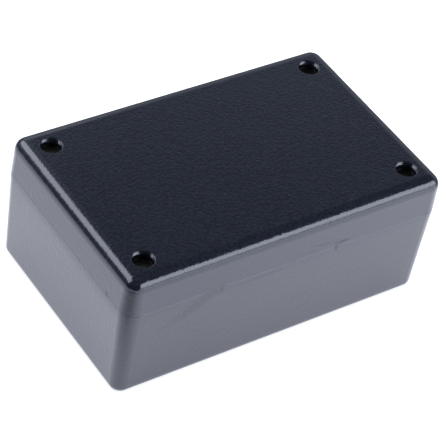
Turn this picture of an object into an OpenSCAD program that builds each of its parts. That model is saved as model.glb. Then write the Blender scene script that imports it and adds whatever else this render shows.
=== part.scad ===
// Two-part moulded project box: a drafted base tray closed by a deep skirted lid. Four pan-head screws
// sit in counterbores in the lid and run into threaded inserts in the base's corner pillars.
// Millimetres, +Z up, +X along the length. The origin is the centre of the flat underside.

/* [Case] */
// Length over the parting line
length = 100; // [84:1:180]
// Width over the parting line
width = 62.8; // [58:0.2:130]
// Height of the closed case
height = 41; // [34:1:80]
// Height of the lid, from the parting line to its top face
lid_h = 11.2; // [10:0.2:14]
// Radius of the upright corners at the parting line
corner_r = 4; // [4:0.1:6]
// Thickness of the side walls
wall = 2.2; // [1.8:0.1:2.4]
// Thickness of the base's floor and of the lid's top
plate = 2.3; // [2:0.1:2.8]

/* [Moulding draft and edges] */
// How far the lid's sides lean in, from the parting line to the top
lid_draft = 0.3; // [0.1:0.05:0.35]
// How far the base's sides lean in, from the parting line to the underside
base_draft = 0.7; // [0.3:0.05:0.9]
// Radius round the lid's top edge
top_edge_r = 3.6; // [2.8:0.1:3.6]
// Radius round the underside's edge
foot_edge_r = 2.6; // [1:0.1:2.8]
// Radius in the base's inner corner, where walls meet floor
inner_edge_r = 0.7; // [0.3:0.1:0.8]
// Bevel on both rims where they meet, which shows as the parting line
rim_bevel = 0.1; // [0.05:0.05:0.2]

/* [Rim joint] */
// Height of the tongue that stands on the base's rim
tongue_h = 1.6; // [1:0.1:2.2]
// Thickness of the tongue
tongue_t = 1; // [0.8:0.05:1]
// Gap between the tongue and the lid's rebate
tongue_gap = 0.15; // [0.1:0.05:0.25]

/* [Screws and pillars] */
// Distance from a screw's axis to the case's end
inset_x = 8.2; // [7.8:0.1:9.5]
// Distance from a screw's axis to the case's side
inset_y = 8.1; // [7.8:0.1:9.5]
// Diameter of each counterbore in the lid's top
counterbore_d = 6; // [5.8:0.1:6.4]
// Depth of each counterbore
counterbore_h = 4.1; // [3.6:0.1:5]
// Radius round each counterbore's mouth
mouth_r = 0.25; // [0.1:0.05:0.3]
// Diameter of the clearance hole under it
clearance_d = 3.4; // [3.2:0.1:3.6]
// Diameter of a pillar at its free end
pillar_d = 8.4; // [8:0.1:9]
// How much wider a pillar's root is than its free end
pillar_taper = 0.5; // [0:0.1:0.8]
// Thickness of the webs that tie a pillar to the two walls beside it
web_t = 1.6; // [1.2:0.1:2]
// Gap between the lid's pillars and the base's
pillar_gap = 0.2; // [0.1:0.1:0.6]

/* [Board slots] */
// Most slots along each long wall; a short case has only as many as fit
long_slots = 7; // [1:1:16]
// Most slots along each short wall
short_slots = 3; // [1:1:11]
// Distance between neighbouring slots
slot_pitch = 10; // [7:0.5:10]
// Width of a slot
slot_w = 1.8; // [1.2:0.1:2.4]
// Thickness of the rib on each side of a slot
rib_t = 1; // [0.8:0.1:1.4]
// How far the ribs stand out from the wall at the floor
rib_reach = 1.7; // [1.2:0.1:2.2]
// Distance from the parting line down to the ribs' tops
rib_drop = 2.5; // [1:0.5:8]
// Height of the lead-in slope at the ribs' tops
rib_lead = 1.6; // [0.5:0.1:3]

/* [Fasteners] */
// Diameter of the screw's thread
screw_d = 3; // [2.9:0.1:3.1]
// Length of the screw under its head
screw_l = 12; // [11:0.5:13]
// Diameter of the screw's head
head_d = 5.5; // [5:0.1:5.7]
// Height of the screw's head
head_h = 2.1; // [1.8:0.1:2.4]
// Radius round the edge of the head's flat top
head_edge_r = 0.4; // [0.2:0.1:0.8]
// Span of the head's cross recess
cross_span = 2.9; // [2.4:0.1:3.2]
// Width of one arm of the cross recess
cross_arm = 0.75; // [0.6:0.05:0.9]
// Depth of the cross recess
cross_h = 1.3; // [0.8:0.1:1.5]
// Outer diameter of a threaded insert
insert_d = 4.2; // [4:0.1:4.6]
// Length of a threaded insert
insert_l = 5; // [4:0.5:6]
// Width of the groove round an insert's middle
insert_groove = 0.9; // [0.5:0.1:1.5]

/* [Hidden] */
CORNER_NAMES = ["front_left", "front_right", "back_left", "back_right"];
CORNERS = [[-1, -1], [1, -1], [-1, 1], [1, 1]];
SCREWS = [for (name = CORNER_NAMES) str("screw_", name)];
INSERTS = [for (name = CORNER_NAMES) str("insert_", name)];

$fn = 64;
base_h = height - lid_h;
core_x = length / 2 - corner_r;
core_y = width / 2 - corner_r;
pitch_x = length - 2 * inset_x;
pitch_y = width - 2 * inset_y;
inner_r = corner_r - wall;
// Reach of the base's inner wall at the floor, and of the lid's at the ceiling. They are whole hundredths,
// so that the walls and the arcs that end them share their points exactly.
floor_reach = hundredths(inner_r - base_draft * (base_h - plate) / base_h);
ceiling_reach = hundredths(inner_r - lid_draft * (lid_h - plate) / lid_h);
tongue_reach = inner_r + tongue_t;
// A rounded edge concentric with the outer one, so that the lid's wall keeps its thickness
ceiling_edge_r = min(top_edge_r - wall, ceiling_reach - 0.02);
floor_edge_r = min(inner_edge_r, floor_reach - 0.02);
screw_seat = height - counterbore_h;
insert_bore_l = insert_l + 3;
// Tools run a little past a face that they cut through
over = 0.5;

// Room kept between a pillar and the nearest rib
pillar_clear = 1;

function hundredths(x) = round(100 * x) / 100;

// As many slots as asked for, or as fit between two pillars that stand this far apart
function slots_between(pitch, most) = min(most, 1 + floor(
    (pitch - pillar_d - pillar_taper - 2 * pillar_clear - slot_w - 2 * rib_t) / slot_pitch));

CASE_BLACK = [0.07, 0.07, 0.08];
ZINC = [0.6, 0.58, 0.5];
BRASS = [0.78, 0.62, 0.28];

// Distance from a corner's upright axis to a wall that leans in from its rim to its closed end
function reach_at(rim, end, h, y) = rim + (end - rim) * y / h;

// Section of a cup: x is the distance out from a corner's upright axis, y runs from the open rim to the
// closed end. The wall leans in as far as the quarter circle that rounds the closed end's corner. The
// rim's outer corner is bevelled.
module cup_section(rim, end, h, edge_r, bevel = 0) {
    c = [end - edge_r, h - edge_r];
    polygon([
        [0, 0],
        [rim - bevel, 0],
        [reach_at(rim, end, c.y, bevel), bevel],
        [end, c.y],
        c,
        [c.x, h],
        [0, h]
    ]);
    translate(c) intersection() {
        circle(edge_r);
        square(2 * edge_r);
    }
}

// Carries a section round the case: four quarter turns about the corners' axes, joined by straight walls
module around_case() {
    for (k = [0:3]) {
        along = k % 2 == 0 ? core_y : core_x;
        out = k % 2 == 0 ? core_x : core_y;
        rotate([0, 0, 90 * k]) translate([out, along, 0]) {
            rotate_extrude(angle = 90) children();
            rotate([90, 0, 0]) linear_extrude(2 * along) children();
        }
    }
}

// Fills the middle of what around_case() makes, from z0 to z1
module core(z0, z1) {
    translate([-core_x, -core_y, z0]) cube([2 * core_x, 2 * core_y, z1 - z0]);
}

module at_screws() {
    for (c = CORNERS) translate([c.x * pitch_x / 2, c.y * pitch_y / 2, 0]) children();
}

// The two webs from a pillar to the walls beside it, with the pillar's axis at the origin. They end
// inside the walls.
module webs(corner, z0, z1) {
    to_end = length / 2 - pitch_x / 2 - base_draft - wall / 2;
    to_side = width / 2 - pitch_y / 2 - base_draft - wall / 2;
    start_x = corner.x > 0 ? 0 : -to_end;
    start_y = corner.y > 0 ? 0 : -to_side;
    translate([start_x, -web_t / 2, z0]) cube([to_end, web_t, z1 - z0]);
    translate([-web_t / 2, start_y, z0]) cube([web_t, to_side, z1 - z0]);
}

// One guide rib with its sloped lead-in, standing out along -Y from a wall whose inner face is near y = 0
module rib() {
    rib_h = base_h - rib_drop - plate;
    into_wall = wall / 2;
    rotate([90, 0, 90]) linear_extrude(rib_t, center = true) polygon([
        [into_wall, 0],
        [into_wall, rib_h],
        [0, rib_h],
        [-rib_reach, rib_h - rib_lead],
        [-rib_reach, 0]
    ]);
}

// A row of board slots, each between two ribs
module slot_row(count) {
    for (i = [0:count - 1], side = [-1, 1])
        translate([(i - (count - 1) / 2) * slot_pitch + side * (slot_w + rib_t) / 2, 0, 0]) rib();
}

module board_slots() {
    for (k = [0:3]) {
        out = k % 2 == 0 ? core_y : core_x;
        rotate([0, 0, 90 * k]) translate([0, out + floor_reach, plate])
            slot_row(k % 2 == 0 ? slots_between(pitch_x, long_slots) : slots_between(pitch_y, short_slots));
    }
}

module base_outside() {
    around_case() {
        translate([0, base_h]) mirror([0, 1])
            cup_section(corner_r, corner_r - base_draft, base_h, foot_edge_r, rim_bevel);
        translate([0, base_h]) square([tongue_reach, tongue_h]);
    }
    core(0, base_h + tongue_h);
}

module base_inside() {
    rim_lift = tongue_h + over;
    rim_reach = reach_at(floor_reach, inner_r, base_h - plate, base_h - plate + rim_lift);
    around_case() translate([0, base_h + rim_lift]) mirror([0, 1])
        cup_section(rim_reach, floor_reach, base_h - plate + rim_lift, floor_edge_r);
    core(plate, base_h + rim_lift);
}

module base() {
    color(CASE_BLACK) difference() {
        union() {
            difference() {
                base_outside();
                base_inside();
            }
            at_screws() translate([0, 0, plate / 2])
                cylinder(h = base_h - plate / 2, d1 = pillar_d + pillar_taper, d2 = pillar_d);
            for (c = CORNERS) translate([c.x * pitch_x / 2, c.y * pitch_y / 2, 0])
                webs(c, plate / 2, base_h);
            board_slots();
        }
        at_screws() {
            translate([0, 0, base_h - insert_l]) cylinder(h = insert_l + over, d = insert_d);
            translate([0, 0, base_h - insert_bore_l]) cylinder(h = insert_bore_l, d = clearance_d);
        }
    }
}

module lid_outside() {
    around_case() translate([0, base_h])
        cup_section(corner_r, corner_r - lid_draft, lid_h, top_edge_r, rim_bevel);
    core(base_h, height);
}

module lid_inside() {
    skirt = lid_h - plate;
    rebate_h = tongue_h + tongue_gap;
    around_case() {
        translate([0, base_h]) cup_section(inner_r, ceiling_reach, skirt, ceiling_edge_r);
        translate([0, base_h - over]) square([tongue_reach + tongue_gap, rebate_h + over]);
    }
    core(base_h - over, height - plate);
}

// Cuts a counterbore, with its mouth rounded over
module counterbore() {
    r = counterbore_d / 2;
    translate([0, 0, screw_seat]) cylinder(h = counterbore_h + over, d = counterbore_d);
    translate([0, 0, height - mouth_r]) rotate_extrude() difference() {
        square([r + mouth_r, mouth_r + over]);
        translate([r + mouth_r, 0]) circle(mouth_r);
    }
}

module lid() {
    color(CASE_BLACK) difference() {
        union() {
            difference() {
                lid_outside();
                lid_inside();
            }
            at_screws() translate([0, 0, base_h + pillar_gap])
                cylinder(h = lid_h - pillar_gap - plate / 2, d1 = pillar_d, d2 = pillar_d + pillar_taper);
            for (c = CORNERS) translate([c.x * pitch_x / 2, c.y * pitch_y / 2, 0])
                webs(c, base_h + tongue_h + pillar_gap, height - plate / 2);
        }
        at_screws() {
            counterbore();
            translate([0, 0, base_h - over]) cylinder(h = screw_seat - base_h + 2 * over, d = clearance_d);
        }
    }
}

// A pan-head screw with a cross recess, seated on its counterbore's floor. The thread is left plain.
module screw(corner) {
    color(ZINC) translate([corner.x * pitch_x / 2, corner.y * pitch_y / 2, screw_seat])
        difference() {
            union() {
                translate([0, 0, -screw_l]) cylinder(h = screw_l, d = screw_d);
                rotate_extrude() cup_section(head_d / 2, head_d / 2, head_h, head_edge_r);
            }
            for (turn = [0, 90]) rotate([0, 0, turn]) translate([0, 0, head_h - cross_h / 2])
                cube([cross_span, cross_arm, cross_h + over], center = true);
        }
}

// A threaded insert, flush with its pillar's end. Its knurl and thread are left plain.
module insert(corner) {
    color(BRASS) translate([corner.x * pitch_x / 2, corner.y * pitch_y / 2, base_h - insert_l])
        difference() {
            cylinder(h = insert_l, d = insert_d);
            translate([0, 0, -over]) cylinder(h = insert_l + 2 * over, d = screw_d + 0.04);
            translate([0, 0, (insert_l - insert_groove) / 2]) difference() {
                cylinder(h = insert_groove, d = insert_d + over);
                cylinder(h = insert_groove, d = insert_d - 0.5);
            }
        }
}

base();
lid();
for (i = [0:3]) {
    screw(CORNERS[i]);
    insert(CORNERS[i]);
}
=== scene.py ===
"""Finishes, fasteners and studio for a two-part moulded project box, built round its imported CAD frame."""

from math import cos, pi, radians, sin

import bmesh
import bpy
from mathutils import Matrix, Vector


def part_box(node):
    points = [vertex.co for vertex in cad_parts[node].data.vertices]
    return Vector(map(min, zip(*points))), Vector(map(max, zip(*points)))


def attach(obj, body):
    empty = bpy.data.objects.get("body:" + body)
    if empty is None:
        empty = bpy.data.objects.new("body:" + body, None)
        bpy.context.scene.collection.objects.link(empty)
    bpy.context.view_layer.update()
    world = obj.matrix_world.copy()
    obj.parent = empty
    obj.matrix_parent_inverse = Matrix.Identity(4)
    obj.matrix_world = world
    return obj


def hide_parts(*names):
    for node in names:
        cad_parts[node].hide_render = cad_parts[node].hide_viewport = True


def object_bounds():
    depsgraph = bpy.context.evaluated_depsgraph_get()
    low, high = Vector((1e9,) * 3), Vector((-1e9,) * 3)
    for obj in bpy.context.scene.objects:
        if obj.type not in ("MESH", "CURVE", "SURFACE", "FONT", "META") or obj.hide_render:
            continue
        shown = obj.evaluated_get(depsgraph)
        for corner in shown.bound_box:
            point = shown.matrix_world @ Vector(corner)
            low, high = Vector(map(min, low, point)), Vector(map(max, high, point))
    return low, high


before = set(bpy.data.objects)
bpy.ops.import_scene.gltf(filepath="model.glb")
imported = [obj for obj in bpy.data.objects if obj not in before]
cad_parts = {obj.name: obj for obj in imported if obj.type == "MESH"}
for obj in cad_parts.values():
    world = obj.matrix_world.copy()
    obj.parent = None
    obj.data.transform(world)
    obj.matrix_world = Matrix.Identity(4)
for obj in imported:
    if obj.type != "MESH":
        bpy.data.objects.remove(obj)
CAD_LOW, CAD_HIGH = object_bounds()

bl_info = {
    "name": "Moulded Project Box",
    "version": (1, 0, 0),
    "blender": (4, 5, 0),
    "location": "View3D > Sidebar > Project Box",
    "description": "Grained black case, its screws and inserts, and a plain studio for it",
    "category": "Object",
}

BODY = "root"
MM = 0.001
CORNERS = ("front_left", "front_right", "back_left", "back_right")
CASE_MIDDLE = (CAD_LOW + CAD_HIGH) / 2
WHITE = (1, 1, 1)
BLACK = (0, 0, 0)

# Meshes
WELD = 0.0005 * MM  # vertices closer than this become one
LEVEL = 0.001 * MM  # vertices this near to a height count as lying on it
SHARP = radians(32)  # edges with a greater bend than this stay sharp
THREAD_STEPS = 24  # in one turn
HEAD_SIDES = 48
EDGE_STEPS = 5  # round the edge of a screw's head
CROSS_TAPER = 0.55  # width at the foot of the cross recess, as a part of that at its mouth

# The plastic's grain. Pairs are levels of its noise, from 0 to 1, where a change starts and is complete.
# Painted glints: the colour is greyer on the grain's crests, standing in for light caught on its slopes.
GLINT_CREST_RANGE = (0.4, 0.6)
FINE_GRAIN = 0.4  # width and height of the finer grain on top, as parts of the main grain's
CLOUD_WIDTH = 16 * MM
CLOUD_RANGE = (0.3, 0.7)
CLOUD_ROUGHNESS = 0.03  # added and taken away by the clouds
SPECK_WIDTH = 1.1 * MM
SPECK_RANGE = (0.76, 0.83)

# Rubbed places. Each row has a middle and half sizes in millimetres, a turn in degrees and a strength.
RUB_REACH = (0.1, 1.1)  # where a rub starts to fade and has gone, in half sizes from its middle
RUB_DEPTH = 1.5  # half size of a rub into the wall, in millimetres
RUB_CRESTS = (0.35, 0.55)  # levels of the grain's noise from its pits, which are rubbed less, to its crests
RUB_IN_PITS = 0.65
RUB_ROUGHNESS = 0.3
RUB_COAT = 0.5  # gloss taken away
FRONT_RUBS = (  # along and up the long front side: a slanting scuff, then nicks by the parting line
    ((-29.5, 25.8), (10.0, 2.8), 27, 0.45),
    ((-25.0, 28.2), (6.5, 2.0), 10, 0.4),
    ((-21.2, 29.2), (1.0, 1.5), 0, 0.8),
    ((17.0, 31.0), (3.0, 0.7), 0, 1.0),
    ((15.2, 29.4), (0.7, 1.7), 0, 1.0),
    ((11.0, 32.2), (5.0, 0.6), -8, 0.6),
    ((-8.0, 28.5), (9.0, 0.5), 0, 0.45),
)
LEFT_RUBS = (  # along and up the short left side: two nicks
    ((-21.3, 30.4), (0.9, 1.2), 0, 1.0),
    ((-7.4, 29.9), (0.7, 0.8), 0, 0.5),
)
TOP_SPECKS = (((42.2, 12.4), (0.6, 0.6), 0, 1.0),)  # along and across the lid's top: one pale speck
SPECK_DEPTH = 1.0  # half size of a speck into the lid, in millimetres

# Flared mouths of the screw holes, and the small bevels where the lid meets the base
HOLE_REACH = 3.3 * MM  # from a hole's axis to just past its rounded mouth
MOUTH = 0.1 * MM  # from the lid's face down to the top of the flare
FLARE_HEIGHT = 1.05 * MM
FLARE_WIDTH = 0.97 * MM
BORE_LIMITS = (3.0 * MM, 2.2 * MM)  # below a screw's flat top: where the flare has gone, and is whole
SEAM_BEVEL = 0.1 * MM
CORNER_LIMITS = (6 * MM, 1 * MM)  # from the case's ends: where the base's bevel is whole, and has gone
RIM_HEIGHT = 3.2 * MM  # of the band where the base is drawn in toward the lid
RIM_CURVE = 7.0  # how deep it is drawn in, over the square of the height in the band, both in metres

# Plated and turned metal
PATCH_WIDTH = 1.6 * MM
PATCH_COLOURS = (0.35, 0.7)  # levels of the patches' noise
PATCH_RANGE = (0.3, 0.7)
PATCH_ROUGHNESS = 0.12  # added in the dullest patches
SCRATCH_WIDTH = 0.12 * MM
SCRATCH_DEPTH = 0.003 * MM
SCRATCH_STRENGTH = 0.5

# Lamps. Each row has a compass direction in degrees, then in metres the distance off, the heights of the
# lower and upper edge and the width, and last the radiance.
SOFTBOXES = {
    "softbox_left": (134, 0.7, 0.39, 1.02, 0.9, 2.45),
    "glow_left": (100, 0.8, 0.3, 1.15, 1.2, 0.3),
    "softbox_right": (-54, 0.7, 0.21, 0.61, 0.8, 3.35),
    "card_right": (-55, 0.72, 0.0, 0.2, 0.9, 1.5),
}
OVERHEAD = (1.2, 0.8, 4.65)  # height and width in metres, and radiance

# Floor and surroundings
AWAY = (0.65, 0.76, 0)  # from the camera to the case and on
FLOOR_REACH = 20.0
FLOOR_GAP = 0.1 * MM  # under the case
FLOOR_GREY = (0.75, 0.75, 0.75)
FLOOR_GLOW = 0.8  # light it gives off to the camera
FLOOR_GLOSS = 0.615  # light it gives off to gloss, before the changes below
# A painted shadow on the floor, seen only in gloss.
PAINTED_SHADOW_SPOT = (-0.125, -0.08, 0)  # the spot to the front left of the case that gloss sees black
PAINTED_SHADOW_REACH = 0.09
# Painted light and shade on the floor as gloss sees it: fall-off and brightening along these directions.
PAINTED_GLOSS_FADES = (  # a direction, where a change starts and ends along it in metres, and the light after it
    ((-0.83, 0.55, 0), 0.12, 0.6, 0.3),
    ((-1, 0, 0), 0.063, 0.068, 0.89),
    ((0, -1, 0), 0.048, 0.06, 1.15),
    (AWAY, 0.03, 0.08, 0.12),
    ((1, 0, 0), -0.02, 0.06, 1.12),
)
WALL_COLOUR = (0.8, 0.87, 1)
WALL_UP = (0.117, -0.117, 1)  # the wall's own upward direction, a little tilted
WALL_TOP = (0.56, 0.67)  # where it starts to fade and has gone, about as the sine of the height angle
WALL_EDGE = (-0.3, 0.3)  # where it has gone and is whole, as the cosine of an angle from AWAY
WALL_LIGHT = 0.285
ROOM_LIGHT = 0.02


class BoxCaseSettings(bpy.types.PropertyGroup):
    """Finish of the moulded case."""

    black: bpy.props.FloatVectorProperty(
        name="Black", description="Colour in the grain's pits", subtype="COLOR", min=0, max=1,
        default=(0.011, 0.013, 0.02),
    )
    # Painted glint colour: the crests are made greyer in place of the light that the grain's slopes catch.
    crest_glint_grey: bpy.props.FloatVectorProperty(
        name="Grey black", description="Colour on the grain's crests", subtype="COLOR", min=0, max=1,
        default=(0.0162, 0.0192, 0.0298),
    )
    speck: bpy.props.FloatVectorProperty(
        name="Speck", description="Colour of the few pale specks", subtype="COLOR", min=0, max=1,
        default=(0.026, 0.029, 0.039),
    )
    gloss: bpy.props.FloatVectorProperty(
        name="Gloss", description="Tint of what the skin reflects face on", subtype="COLOR", min=0, max=1,
        default=(0.72, 0.765, 1.0),
    )
    roughness: bpy.props.FloatProperty(
        name="Roughness", description="Roughness of the moulded skin", default=0.2, min=0.05, max=1.0
    )
    coat_roughness: bpy.props.FloatProperty(
        name="Coat roughness", description="Roughness of the skin's gloss", default=0.1, min=0.0, max=1.0
    )
    ior: bpy.props.FloatProperty(
        name="IOR", description="Refractive index of the plastic", default=1.55, min=1.0, max=2.5
    )
    grain: bpy.props.FloatProperty(
        name="Grain", description="Width of one spark-eroded grain", default=0.85 * MM, unit="LENGTH"
    )
    grain_depth: bpy.props.FloatProperty(
        name="Grain depth", description="Depth of the grain", default=0.042 * MM, unit="LENGTH"
    )


class BoxScrewSettings(bpy.types.PropertyGroup):
    """Shape and finish of the lid's screws."""

    zinc: bpy.props.FloatVectorProperty(
        name="Zinc", description="Colour of the darkened plating", subtype="COLOR", min=0, max=1,
        default=(0.09, 0.086, 0.074),
    )
    thread: bpy.props.FloatProperty(
        name="Thread", description="Diameter over the thread", default=3.0 * MM, unit="LENGTH"
    )
    pitch: bpy.props.FloatProperty(
        name="Pitch", description="Rise of the thread in one turn", default=0.5 * MM, unit="LENGTH"
    )
    thread_depth: bpy.props.FloatProperty(
        name="Thread depth", description="From the crest of the thread to its root", default=0.29 * MM,
        unit="LENGTH",
    )
    edge: bpy.props.FloatProperty(
        name="Head edge", description="Radius round the head's flat top", default=0.2 * MM, unit="LENGTH"
    )
    head: bpy.props.FloatProperty(
        name="Head height", description="From the seat to the flat top", default=2.1 * MM, unit="LENGTH"
    )
    cross: bpy.props.FloatProperty(
        name="Cross", description="Span of the cross recess", default=2.9 * MM, unit="LENGTH"
    )
    cross_arm: bpy.props.FloatProperty(
        name="Cross arm", description="Width of one arm of the cross", default=0.75 * MM, unit="LENGTH"
    )
    cross_depth: bpy.props.FloatProperty(
        name="Cross depth", description="Depth of the cross recess", default=1.25 * MM, unit="LENGTH"
    )


class BoxInsertSettings(bpy.types.PropertyGroup):
    """Shape and finish of the threaded inserts."""

    brass: bpy.props.FloatVectorProperty(
        name="Brass", description="Colour of the turned brass", subtype="COLOR", min=0, max=1,
        default=(0.62, 0.43, 0.18),
    )
    teeth: bpy.props.IntProperty(
        name="Teeth", description="Teeth round the knurl", default=36, min=12, max=80
    )
    tooth: bpy.props.FloatProperty(
        name="Tooth", description="Depth of the knurl", default=0.14 * MM, unit="LENGTH"
    )
    bore: bpy.props.FloatProperty(
        name="Bore", description="Diameter of the bore, clear of the screw's thread", default=3.04 * MM,
        unit="LENGTH",
    )
    groove: bpy.props.FloatProperty(
        name="Groove", description="Width of the groove round the middle", default=0.9 * MM, unit="LENGTH"
    )
    groove_depth: bpy.props.FloatProperty(
        name="Groove depth", description="Depth of that groove", default=0.25 * MM, unit="LENGTH"
    )
    chamfer: bpy.props.FloatProperty(
        name="Chamfer", description="Bevel at both ends", default=0.2 * MM, unit="LENGTH"
    )


class BoxStageSettings(bpy.types.PropertyGroup):
    """Camera, and the colours of the floor and the lamps."""

    azimuth: bpy.props.FloatProperty(
        name="Azimuth", description="Turn of the camera from the long front side", subtype="ANGLE",
        default=radians(-40.92),
    )
    elevation: bpy.props.FloatProperty(
        name="Elevation", description="Height of the camera above the floor, as an angle", subtype="ANGLE",
        default=radians(42.38),
    )
    roll: bpy.props.FloatProperty(
        name="Roll", description="Tilt of the camera about its own axis", subtype="ANGLE",
        default=radians(11.53),
    )
    distance: bpy.props.FloatProperty(
        name="Distance", description="From the camera to the point it looks at", default=552.4 * MM,
        unit="LENGTH",
    )
    lens: bpy.props.FloatProperty(
        name="Lens", description="Focal length in millimetres", default=165.0, unit="CAMERA"
    )
    aim: bpy.props.FloatVectorProperty(
        name="Aim", description="Where the camera looks, from the case's middle", subtype="TRANSLATION",
        default=(-1.34 * MM, -3.16 * MM, 0),
    )
    lamp: bpy.props.FloatVectorProperty(
        name="Lamps", description="Colour of the lamps", subtype="COLOR", min=0, max=1,
        default=(0.9, 0.94, 1.0),
    )
    # The floor's glow in gloss, which the floor material shapes into a painted pool of light.
    floor: bpy.props.FloatVectorProperty(
        name="Floor", description="Colour that the lit floor shows in gloss", subtype="COLOR", min=0, max=1,
        default=(0.84, 0.865, 1.0),
    )


def new_material(name):
    """A node material, its node tree and its surface shader."""
    material = bpy.data.materials.new(name)
    material.use_nodes = True
    tree = material.node_tree
    return material, tree, tree.nodes["Principled BSDF"]


def add_node(tree, kind, **values):
    """A node with its settings or sockets filled in by name; a name with spaces has underscores here."""
    node = tree.nodes.new(kind)
    settings = {key: value for key, value in values.items() if hasattr(node, key)}
    for key, value in settings.items():
        setattr(node, key, value)
    for key, value in values.items():
        if key not in settings:
            node.inputs[key.replace("_", " ")].default_value = value
    return node


def object_coords(tree):
    """Coordinates in metres that stay with the object."""
    return add_node(tree, "ShaderNodeTexCoord").outputs["Object"]


def maths(tree, operation, first, second=0.0):
    """The result of a Math node on two sockets or numbers."""
    node = add_node(tree, "ShaderNodeMath", operation=operation)
    for socket, value in zip(node.inputs, (first, second)):
        if isinstance(value, bpy.types.NodeSocket):
            tree.links.new(value, socket)
        else:
            socket.default_value = value
    return node.outputs[0]


def product(tree, first, second):
    """Two sockets or numbers multiplied."""
    return maths(tree, "MULTIPLY", first, second)


def mix_colour(tree, factor, first, second):
    """The result of mixing two colours, each a socket or three numbers."""
    node = add_node(tree, "ShaderNodeMix", data_type="RGBA")
    tree.links.new(factor, node.inputs["Factor"])
    for socket, value in ((node.inputs[6], first), (node.inputs[7], second)):
        if isinstance(value, bpy.types.NodeSocket):
            tree.links.new(value, socket)
        else:
            socket.default_value = (*value, 1)
    return node.outputs[2]


def noise(tree, coords, width, detail=3.0):
    """Noise whose blotches are about width metres wide."""
    texture = add_node(tree, "ShaderNodeTexNoise", Scale=1 / width, Detail=detail, Roughness=0.6)
    tree.links.new(coords, texture.inputs["Vector"])
    return texture.outputs["Fac"]


def ramp(tree, value, low, high, to_low=0.0, to_high=1.0):
    """value from low to high, stretched to run from to_low to to_high and held there."""
    node = add_node(tree, "ShaderNodeMapRange", From_Min=low, From_Max=high, To_Min=to_low, To_Max=to_high)
    tree.links.new(value, node.inputs["Value"])
    return node.outputs[0]


def distance_from(tree, coords, place):
    """How far a point is from place."""
    node = add_node(tree, "ShaderNodeVectorMath", operation="DISTANCE")
    node.inputs[1].default_value = place
    tree.links.new(coords, node.inputs[0])
    return node.outputs["Value"]


def along(tree, coords, way):
    """How far a point is along a direction."""
    node = add_node(tree, "ShaderNodeVectorMath", operation="DOT_PRODUCT")
    node.inputs[1].default_value = way
    tree.links.new(coords, node.inputs[0])
    return node.outputs["Value"]


def bump_node(tree, height, distance, strength=1.0):
    """A Bump node that takes its height from a socket."""
    node = add_node(tree, "ShaderNodeBump", Strength=strength, Distance=distance)
    tree.links.new(height, node.inputs["Height"])
    return node


def hole_flare(tree, coords):
    """Height that gives the upper wall of each screw hole the shading of a flared mouth."""
    low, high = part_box("screw_back_right")
    fold = add_node(tree, "ShaderNodeVectorMath", operation="ABSOLUTE")
    tree.links.new(coords, fold.inputs[0])
    flat = add_node(tree, "ShaderNodeVectorMath", operation="MULTIPLY")
    tree.links.new(fold.outputs[0], flat.inputs[0])
    flat.inputs[1].default_value = (1, 1, 0)
    axis = ((low.x + high.x) / 2, (low.y + high.y) / 2, 0)
    inside = maths(tree, "LESS_THAN", distance_from(tree, flat.outputs[0], axis), HOLE_REACH)
    height = along(tree, coords, (0, 0, 1))
    top = CAD_HIGH.z - MOUTH
    depth = ramp(tree, height, top - FLARE_HEIGHT, top, FLARE_WIDTH, 0.0)
    gone, whole = BORE_LIMITS
    bore = ramp(tree, height, high.z - gone, high.z - whole)
    return product(tree, product(tree, inside, bore), depth)


def seam_round(tree, coords):
    """Height that rounds off the small bevels where lid and base meet, and draws in the base's rim a little.

    The base's own bevel is rounded off only at the corners and short sides, and stays a faint line on the
    long sides.
    """
    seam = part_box("lid")[0].z
    height = along(tree, coords, (0, 0, 1))
    lid_bevel = ramp(tree, height, seam, seam + SEAM_BEVEL, SEAM_BEVEL, 0.0)
    whole, gone = CORNER_LIMITS
    from_middle = maths(tree, "ABSOLUTE", along(tree, coords, (1, 0, 0)))
    corner = ramp(tree, from_middle, CAD_HIGH.x - whole, CAD_HIGH.x - gone, 0.0, SEAM_BEVEL)
    base_bevel = product(tree, ramp(tree, height, seam - SEAM_BEVEL, seam, -1.0, 0.0), corner)
    rim = ramp(tree, height, seam - RIM_HEIGHT, seam, 0.0, RIM_HEIGHT)
    drawn_in = product(tree, product(tree, rim, rim), -RIM_CURVE)
    return maths(tree, "ADD", maths(tree, "ADD", lid_bevel, base_bevel), drawn_in)


def rubs(tree, coords, marks):
    """Mask of rubbed places. Each is an ellipsoid: its middle in metres, half sizes in millimetres, turn in
    degrees and strength."""
    total = None
    for place, size, turn, strength in marks:
        local = add_node(tree, "ShaderNodeMapping", vector_type="TEXTURE")
        tree.links.new(coords, local.inputs["Vector"])
        local.inputs["Location"].default_value = place
        local.inputs["Rotation"].default_value = (0, radians(-turn), 0)
        local.inputs["Scale"].default_value = Vector(size) * MM
        from_middle = distance_from(tree, local.outputs[0], (0, 0, 0))
        mark = ramp(tree, from_middle, *RUB_REACH, strength, 0.0)
        total = mark if total is None else maths(tree, "MAXIMUM", total, mark)
    return total


def side_marks():
    """Where the case is rubbed: on the long front side and on the short left side."""
    marks = [((x * MM, CAD_LOW.y, z * MM), (wide, RUB_DEPTH, high), turn, strength)
             for (x, z), (wide, high), turn, strength in FRONT_RUBS]
    marks += [((CAD_LOW.x, y * MM, z * MM), (RUB_DEPTH, wide, high), turn, strength)
              for (y, z), (wide, high), turn, strength in LEFT_RUBS]
    return marks


def top_marks():
    """Where the lid's top has a pale speck."""
    return [((x * MM, y * MM, CAD_HIGH.z), (wide, deep, SPECK_DEPTH), turn, strength)
            for (x, y), (wide, deep), turn, strength in TOP_SPECKS]


def case_colour(tree, coords, grain, settings):
    """Black, greyer on the grain's crests as painted glints that stand in for light caught on the grain's
    slopes, with a few pale specks.
    """
    skin = mix_colour(tree, ramp(tree, grain, *GLINT_CREST_RANGE), settings.black, settings.crest_glint_grey)
    specks = ramp(tree, noise(tree, coords, SPECK_WIDTH, detail=0.0), *SPECK_RANGE)
    pale = maths(tree, "MAXIMUM", specks, rubs(tree, coords, top_marks()))
    return mix_colour(tree, pale, skin, settings.speck)


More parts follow.
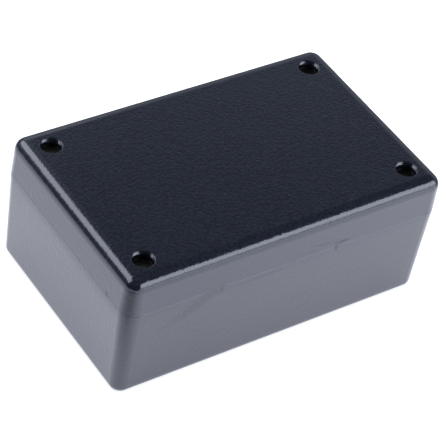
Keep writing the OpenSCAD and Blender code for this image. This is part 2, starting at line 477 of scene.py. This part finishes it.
def case_relief(tree, coords, grain, settings):
    """The grain, over the flared hole mouths and the rounded seam; all of it is shading."""
    edges = maths(tree, "ADD", hole_flare(tree, coords), seam_round(tree, coords))
    fine = noise(tree, coords, settings.grain * FINE_GRAIN, detail=1.0)
    skin = maths(tree, "ADD", grain, product(tree, fine, FINE_GRAIN))
    relief = bump_node(tree, skin, settings.grain_depth)
    tree.links.new(bump_node(tree, edges, 1.0).outputs["Normal"], relief.inputs["Normal"])
    return relief.outputs["Normal"]


def case_material(settings):
    """Black plastic with a fine spark-eroded grain whose crests carry painted glints, cloudy patches, a few
    pale specks and rubbed places.
    """
    material, tree, shader = new_material("case_plastic_grained")
    link = tree.links.new
    coords = object_coords(tree)
    grain = noise(tree, coords, settings.grain, detail=1.5)
    link(case_colour(tree, coords, grain, settings), shader.inputs["Base Color"])
    worn = product(tree, rubs(tree, coords, side_marks()), ramp(tree, grain, *RUB_CRESTS, RUB_IN_PITS, 1.0))
    smooth = settings.roughness - CLOUD_ROUGHNESS
    rough = settings.roughness + CLOUD_ROUGHNESS
    satin = ramp(tree, noise(tree, coords, CLOUD_WIDTH), *CLOUD_RANGE, smooth, rough)
    link(maths(tree, "ADD", satin, product(tree, worn, RUB_ROUGHNESS)), shader.inputs["Roughness"])
    link(maths(tree, "SUBTRACT", 1.0, product(tree, worn, RUB_COAT)), shader.inputs["Coat Weight"])
    relief = case_relief(tree, coords, grain, settings)
    link(relief, shader.inputs["Normal"])
    link(relief, shader.inputs["Coat Normal"])
    shader.inputs["IOR"].default_value = settings.ior
    shader.inputs["Specular Tint"].default_value = (*settings.gloss, 1)
    shader.inputs["Coat IOR"].default_value = settings.ior
    shader.inputs["Coat Roughness"].default_value = settings.coat_roughness
    return material


class BOX_OT_case(bpy.types.Operator):
    """Give the base and the lid their grained black plastic"""

    bl_idname = "box.case"
    bl_label = "Case"

    def execute(self, context):
        material = case_material(context.scene.box_case)
        for node in ("base", "lid"):
            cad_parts[node].data.materials[0] = material
        return {"FINISHED"}


def place_piece(shape, name, node, material, axis):
    """Turns a finished bmesh round the origin into the piece that stands for a CAD node at axis."""
    bmesh.ops.remove_doubles(shape, verts=shape.verts, dist=WELD)
    bmesh.ops.recalc_face_normals(shape, faces=shape.faces)
    bmesh.ops.translate(shape, vec=axis, verts=shape.verts)
    for face in shape.faces:
        face.smooth = True
    for edge in shape.edges:
        edge.smooth = len(edge.link_faces) == 2 and edge.calc_face_angle() < SHARP
    mesh = bpy.data.meshes.new(name)
    shape.to_mesh(mesh)
    shape.free()
    mesh.materials.append(material)
    piece = bpy.data.objects.new(name, mesh)
    bpy.context.scene.collection.objects.link(piece)
    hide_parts(node)
    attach(piece, BODY)


def ring(shape, radius, z, count):
    """The edges of a new circle about the Z axis."""
    made = bmesh.ops.create_circle(
        shape, segments=count, radius=radius, matrix=Matrix.Translation((0, 0, z))
    )
    return edges_of(made["verts"])


def edges_of(verts):
    """The edges that run between these vertices, in the same order each time."""
    ends = set(verts)
    near = dict.fromkeys(edge for vert in verts for edge in vert.link_edges)
    return [edge for edge in near if set(edge.verts) <= ends]


def open_edges(shape, z):
    """The edges at height z that have only one face."""
    return [edge for edge in shape.edges
            if edge.is_boundary and all(abs(v.co.z - z) < LEVEL for v in edge.verts)]


def bridge(shape, first, second):
    """A band of faces between two loops of edges."""
    bmesh.ops.bridge_loops(shape, edges=first + second)


def metal_material(name, colour, roughness, wear):
    """Plated or turned metal with fine scratches, and dull patches whose colour is wear times its own."""
    material, tree, shader = new_material(name)
    link = tree.links.new
    coords = object_coords(tree)
    patches = noise(tree, coords, PATCH_WIDTH)
    dull = tuple(channel * wear for channel in colour)
    link(mix_colour(tree, ramp(tree, patches, *PATCH_COLOURS), colour, dull), shader.inputs["Base Color"])
    dullest = roughness + PATCH_ROUGHNESS
    link(ramp(tree, patches, *PATCH_RANGE, roughness, dullest), shader.inputs["Roughness"])
    scratches = bump_node(tree, noise(tree, coords, SCRATCH_WIDTH), SCRATCH_DEPTH, SCRATCH_STRENGTH)
    link(scratches.outputs["Normal"], shader.inputs["Normal"])
    shader.inputs["Metallic"].default_value = 1.0
    return material


def build_screw(settings, head_radius, length):
    """A pan-head screw that stands on its seat at z = 0: thread, head and a tapered cross recess."""
    shape = bmesh.new()
    pitch = settings.pitch
    crest = settings.thread / 2
    root = crest - settings.thread_depth
    turns = round(length / pitch) + 2
    # One pitch of thread as its radii, each at a height in pitches.
    section = [(root, 0.0), (root, 0.14), (crest, 0.45), (crest, 0.57), (root, 0.88), (root, 1.0)]
    verts = [shape.verts.new((x, 0, (z - 1) * pitch - length)) for x, z in section]
    edges = [shape.edges.new(pair) for pair in zip(verts, verts[1:])]
    bmesh.ops.spin(
        shape, geom=verts + edges, axis=(0, 0, 1), cent=(0, 0, 0), dvec=(0, 0, pitch / THREAD_STEPS),
        angle=2 * pi * turns, steps=THREAD_STEPS * turns,
    )
    bmesh.ops.remove_doubles(shape, verts=shape.verts, dist=WELD)
    for z, up in ((-length, False), (0.0, True)):
        bmesh.ops.bisect_plane(
            shape, geom=shape.verts[:] + shape.edges[:] + shape.faces[:], plane_co=(0, 0, z),
            plane_no=(0, 0, 1), clear_outer=up, clear_inner=not up, dist=WELD,
        )
    tip = open_edges(shape, -length)
    neck = open_edges(shape, 0.0)
    bmesh.ops.triangle_fill(shape, edges=tip, use_beauty=True)
    seat = ring(shape, head_radius, 0, HEAD_SIDES)
    bmesh.ops.triangle_fill(shape, edges=neck + seat, use_beauty=True)
    rim = ring(shape, head_radius, settings.head - settings.edge, HEAD_SIDES)
    bridge(shape, seat, rim)
    for step in range(1, EDGE_STEPS + 1):
        turn = radians(90) * step / EDGE_STEPS
        reach = head_radius - settings.edge * (1 - cos(turn))
        outer = ring(shape, reach, settings.head - settings.edge * (1 - sin(turn)), HEAD_SIDES)
        bridge(shape, rim, outer)
        rim = outer
    cross = cross_outline(shape, settings, settings.head)
    bmesh.ops.triangle_fill(shape, edges=rim + cross, use_beauty=True)
    return shape


def cross_outline(shape, settings, z):
    """Cuts the cross recess's walls and floor down from z, and returns the edges of its mouth."""
    made = bmesh.ops.create_grid(
        shape, x_segments=3, y_segments=3, size=settings.cross / 2, matrix=Matrix.Translation((0, 0, z))
    )
    arm = settings.cross_arm / 2
    third = settings.cross / 6 + 0.01 * MM  # just past the grid's inner lines, which become the arms' sides
    for vert in made["verts"]:
        for axis in (0, 1):
            if abs(vert.co[axis]) < third:
                vert.co[axis] = arm * (1 if vert.co[axis] > 0 else -1)
    faces = dict.fromkeys(face for vert in made["verts"] for face in vert.link_faces)
    corners = [face for face in faces if min(abs(face.calc_center_median()[axis]) for axis in (0, 1)) > arm]
    bmesh.ops.delete(shape, geom=corners, context="FACES")
    floor = [face for face in faces if face.is_valid]
    sunk = bmesh.ops.extrude_face_region(shape, geom=floor)
    verts = [item for item in sunk["geom"] if isinstance(item, bmesh.types.BMVert)]
    bmesh.ops.delete(shape, geom=floor, context="FACES")
    bmesh.ops.translate(shape, vec=(0, 0, -settings.cross_depth), verts=verts)
    for vert in verts:
        vert.co.x *= CROSS_TAPER
        vert.co.y *= CROSS_TAPER
    past_arms = settings.cross * 0.6  # beyond the mouth's corners, and well inside the head's rim
    return [edge for edge in open_edges(shape, z) if max(v.co.xy.length for v in edge.verts) < past_arms]


class BOX_OT_screws(bpy.types.Operator):
    """Make the four pan-head screws that hold the lid"""

    bl_idname = "box.screws"
    bl_label = "Screws"

    def execute(self, context):
        settings = context.scene.box_screw
        material = metal_material("zinc_plated_steel", tuple(settings.zinc), roughness=0.3, wear=0.75)
        for corner in CORNERS:
            node = "screw_" + corner
            low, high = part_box(node)
            seat = high.z - settings.head
            shape = build_screw(settings, (high.x - low.x) / 2, seat - low.z)
            axis = Vector(((low.x + high.x) / 2, (low.y + high.y) / 2, seat))
            place_piece(shape, "pan_head_" + node, node, material, axis)
        return {"FINISHED"}


def build_insert(settings, radius, length):
    """A knurled insert with its lower end at z = 0: two knurled bands, a groove between them and a bore."""
    shape = bmesh.new()
    count = 2 * settings.teeth
    groove_z = (length - settings.groove) / 2
    neck = radius - settings.groove_depth
    ends = radius - settings.chamfer
    bore = settings.bore / 2
    bore_chamfer = settings.chamfer / 2
    levels = [
        (ends, 0.0, False),
        (radius, settings.chamfer, True),
        (radius, groove_z, True),
        (neck, groove_z, False),
        (neck, length - groove_z, False),
        (radius, length - groove_z, True),
        (radius, length - settings.chamfer, True),
        (ends, length, False),
        (bore + bore_chamfer, length, False),
        (bore, length - bore_chamfer, False),
        (bore, bore_chamfer, False),
        (bore + bore_chamfer, 0.0, False),
    ]
    loops = []
    for reach, z, knurled in levels:
        edges = ring(shape, reach, z, count)
        loops.append(edges)
        if knurled:
            for vert in {v for e in edges for v in e.verts}:
                step = round(vert.co.xy.angle_signed(Vector((1, 0))) / (2 * pi / count))
                if step % 2:
                    vert.co.xy *= (radius - settings.tooth) / radius
    for first, second in zip(loops, loops[1:] + loops[:1]):
        bridge(shape, first, second)
    return shape


class BOX_OT_inserts(bpy.types.Operator):
    """Make the four knurled inserts that the screws run into"""

    bl_idname = "box.inserts"
    bl_label = "Inserts"

    def execute(self, context):
        settings = context.scene.box_insert
        material = metal_material("turned_brass", tuple(settings.brass), roughness=0.25, wear=0.8)
        for corner in CORNERS:
            node = "insert_" + corner
            low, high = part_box(node)
            shape = build_insert(settings, (high.x - low.x) / 2, high.z - low.z)
            axis = Vector(((low.x + high.x) / 2, (low.y + high.y) / 2, low.z))
            place_piece(shape, "knurled_" + node, node, material, axis)
        return {"FINISHED"}


def add_lamp(name, width, height, radiance, colour):
    """A rectangular lamp that the camera doesn't see."""
    lamp = bpy.data.lights.new(name, "AREA")
    lamp.shape = "RECTANGLE"
    lamp.size = width
    lamp.size_y = height
    lamp.energy = radiance * pi * lamp.size * lamp.size_y
    lamp.color = colour
    obj = bpy.data.objects.new(name, lamp)
    bpy.context.scene.collection.objects.link(obj)
    obj.visible_camera = False
    return obj


def add_softbox(name, azimuth, reach, low, high, width, radiance, colour):
    """An upright lamp, reach metres off in the compass direction azimuth, facing the case."""
    lamp = add_lamp(name, width, high - low, radiance, colour)
    lamp.location = (cos(azimuth) * reach, sin(azimuth) * reach, (low + high) / 2)
    lamp.rotation_euler = Vector((-cos(azimuth), -sin(azimuth), 0)).to_track_quat("-Z", "Y").to_euler()


def add_overhead(name, height, width, radiance, colour):
    """A square lamp over the case, facing down, that gloss and metal don't show."""
    lamp = add_lamp(name, width, width, radiance, colour)
    lamp.visible_glossy = False
    lamp.location = (0, 0, height)


def floor_material(settings):
    """White to the camera, with the case's shadow; in gloss a glow shaped into a painted pool of light with
    a painted shadow spot; clear from below.
    """
    material, tree, shader = new_material("floor_white")
    link = tree.links.new
    tree.nodes.remove(shader)
    coords = object_coords(tree)
    path = add_node(tree, "ShaderNodeLightPath")
    camera = path.outputs["Is Camera Ray"]
    gloss = maths(tree, "MAXIMUM", path.outputs["Is Glossy Ray"], path.outputs["Is Transmission Ray"])
    # Painted pool of light for gloss, with a painted shadow spot and painted fall-off.
    painted_light_pool = ramp(tree, distance_from(tree, coords, PAINTED_SHADOW_SPOT), 0, PAINTED_SHADOW_REACH)
    for way, start, end, left in PAINTED_GLOSS_FADES:
        painted_light_pool = product(tree, painted_light_pool, ramp(tree, along(tree, coords, way), start, end, 1.0, left))
    # Painted shade: where the pool is dark, gloss sees a black floor.
    painted_gloss_shade = product(tree, gloss, maths(tree, "SUBTRACT", 1.0, painted_light_pool))
    sheet = add_node(tree, "ShaderNodeBsdfDiffuse")
    link(mix_colour(tree, painted_gloss_shade, FLOOR_GREY, BLACK), sheet.inputs["Color"])
    glow = add_node(tree, "ShaderNodeEmission")
    link(mix_colour(tree, camera, settings.floor, WHITE), glow.inputs["Color"])
    glow_to_gloss = product(tree, product(tree, gloss, painted_light_pool), FLOOR_GLOSS)
    link(maths(tree, "ADD", product(tree, camera, FLOOR_GLOW), glow_to_gloss), glow.inputs["Strength"])
    lit = add_node(tree, "ShaderNodeAddShader")
    link(glow.outputs[0], lit.inputs[0])
    link(sheet.outputs[0], lit.inputs[1])
    one_sided = add_node(tree, "ShaderNodeMixShader")
    link(add_node(tree, "ShaderNodeNewGeometry").outputs["Backfacing"], one_sided.inputs["Fac"])
    link(lit.outputs[0], one_sided.inputs[1])
    link(add_node(tree, "ShaderNodeBsdfTransparent").outputs[0], one_sided.inputs[2])
    link(one_sided.outputs[0], tree.nodes["Material Output"].inputs["Surface"])
    return material


def add_floor(settings):
    """A wide floor just under the case."""
    mesh = bpy.data.meshes.new("floor")
    shape = bmesh.new()
    bmesh.ops.create_grid(shape, x_segments=1, y_segments=1, size=FLOOR_REACH)
    shape.to_mesh(mesh)
    shape.free()
    floor = bpy.data.objects.new("floor", mesh)
    floor.location.z = CAD_LOW.z - FLOOR_GAP
    bpy.context.scene.collection.objects.link(floor)
    mesh.materials.append(floor_material(settings))


def add_world():
    """Dark surroundings with a dim wall behind the case; all of it is white to the camera."""
    world = bpy.data.worlds.new("studio")
    bpy.context.scene.world = world
    world.use_nodes = True
    tree = world.node_tree
    direction = add_node(tree, "ShaderNodeTexCoord").outputs["Generated"]
    seen = add_node(tree, "ShaderNodeLightPath").outputs["Is Camera Ray"]
    wall = ramp(tree, along(tree, direction, WALL_UP), *WALL_TOP, WALL_LIGHT, 0.0)
    behind = ramp(tree, along(tree, direction, AWAY), *WALL_EDGE)
    level = maths(tree, "ADD", product(tree, wall, behind), ROOM_LIGHT)
    background = tree.nodes["Background"]
    tree.links.new(mix_colour(tree, seen, WALL_COLOUR, WHITE), background.inputs["Color"])
    tree.links.new(maths(tree, "MAXIMUM", seen, level), background.inputs["Strength"])


def add_camera(settings):
    """The camera, by where it looks and from where."""
    target = CASE_MIDDLE + Vector(settings.aim)
    azimuth = settings.azimuth
    elevation = settings.elevation
    back = Vector((sin(azimuth) * cos(elevation), -cos(azimuth) * cos(elevation), sin(elevation)))
    camera = bpy.data.objects.new("camera", bpy.data.cameras.new("camera"))
    bpy.context.scene.collection.objects.link(camera)
    bpy.context.scene.camera = camera
    camera.data.lens = settings.lens
    camera.data.clip_start = 10 * MM
    place = Matrix.Translation(target + back * settings.distance)
    turn = (-back).to_track_quat("-Z", "Y").to_matrix().to_4x4()
    camera.matrix_world = place @ turn @ Matrix.Rotation(settings.roll, 4, "Z")


class BOX_OT_stage(bpy.types.Operator):
    """Make the floor, the lamps, the surroundings and the camera"""

    bl_idname = "box.stage"
    bl_label = "Stage"

    def execute(self, context):
        settings = context.scene.box_stage
        for name, (azimuth, *place_and_light) in SOFTBOXES.items():
            add_softbox(name, radians(azimuth), *place_and_light, settings.lamp)
        add_overhead("overhead", *OVERHEAD, settings.lamp)
        add_floor(settings)
        add_world()
        add_camera(settings)
        context.scene.view_settings.view_transform = "Standard"
        return {"FINISHED"}


class BOX_PT_panel(bpy.types.Panel):
    """Buttons and settings in the 3D view's sidebar"""

    bl_label = "Project Box"
    bl_idname = "BOX_PT_panel"
    bl_space_type = "VIEW_3D"
    bl_region_type = "UI"
    bl_category = "Project Box"

    def draw(self, context):
        for name, (settings, operator) in PARTS.items():
            box = self.layout.box()
            box.operator(operator.bl_idname)
            group = getattr(context.scene, name)
            for key in settings.__annotations__:
                box.prop(group, key)


PARTS = {
    "box_case": (BoxCaseSettings, BOX_OT_case),
    "box_screw": (BoxScrewSettings, BOX_OT_screws),
    "box_insert": (BoxInsertSettings, BOX_OT_inserts),
    "box_stage": (BoxStageSettings, BOX_OT_stage),
}


def register():
    for name, (settings, operator) in PARTS.items():
        bpy.utils.register_class(settings)
        bpy.utils.register_class(operator)
        setattr(bpy.types.Scene, name, bpy.props.PointerProperty(type=settings))
    bpy.utils.register_class(BOX_PT_panel)


def unregister():
    bpy.utils.unregister_class(BOX_PT_panel)
    for name, (settings, operator) in reversed(PARTS.items()):
        delattr(bpy.types.Scene, name)
        bpy.utils.unregister_class(operator)
        bpy.utils.unregister_class(settings)


def main():
    """Makes everything with its default settings."""
    register()
    bpy.ops.box.case()
    bpy.ops.box.screws()
    bpy.ops.box.inserts()
    bpy.ops.box.stage()


if __name__ == "__main__":
    main()
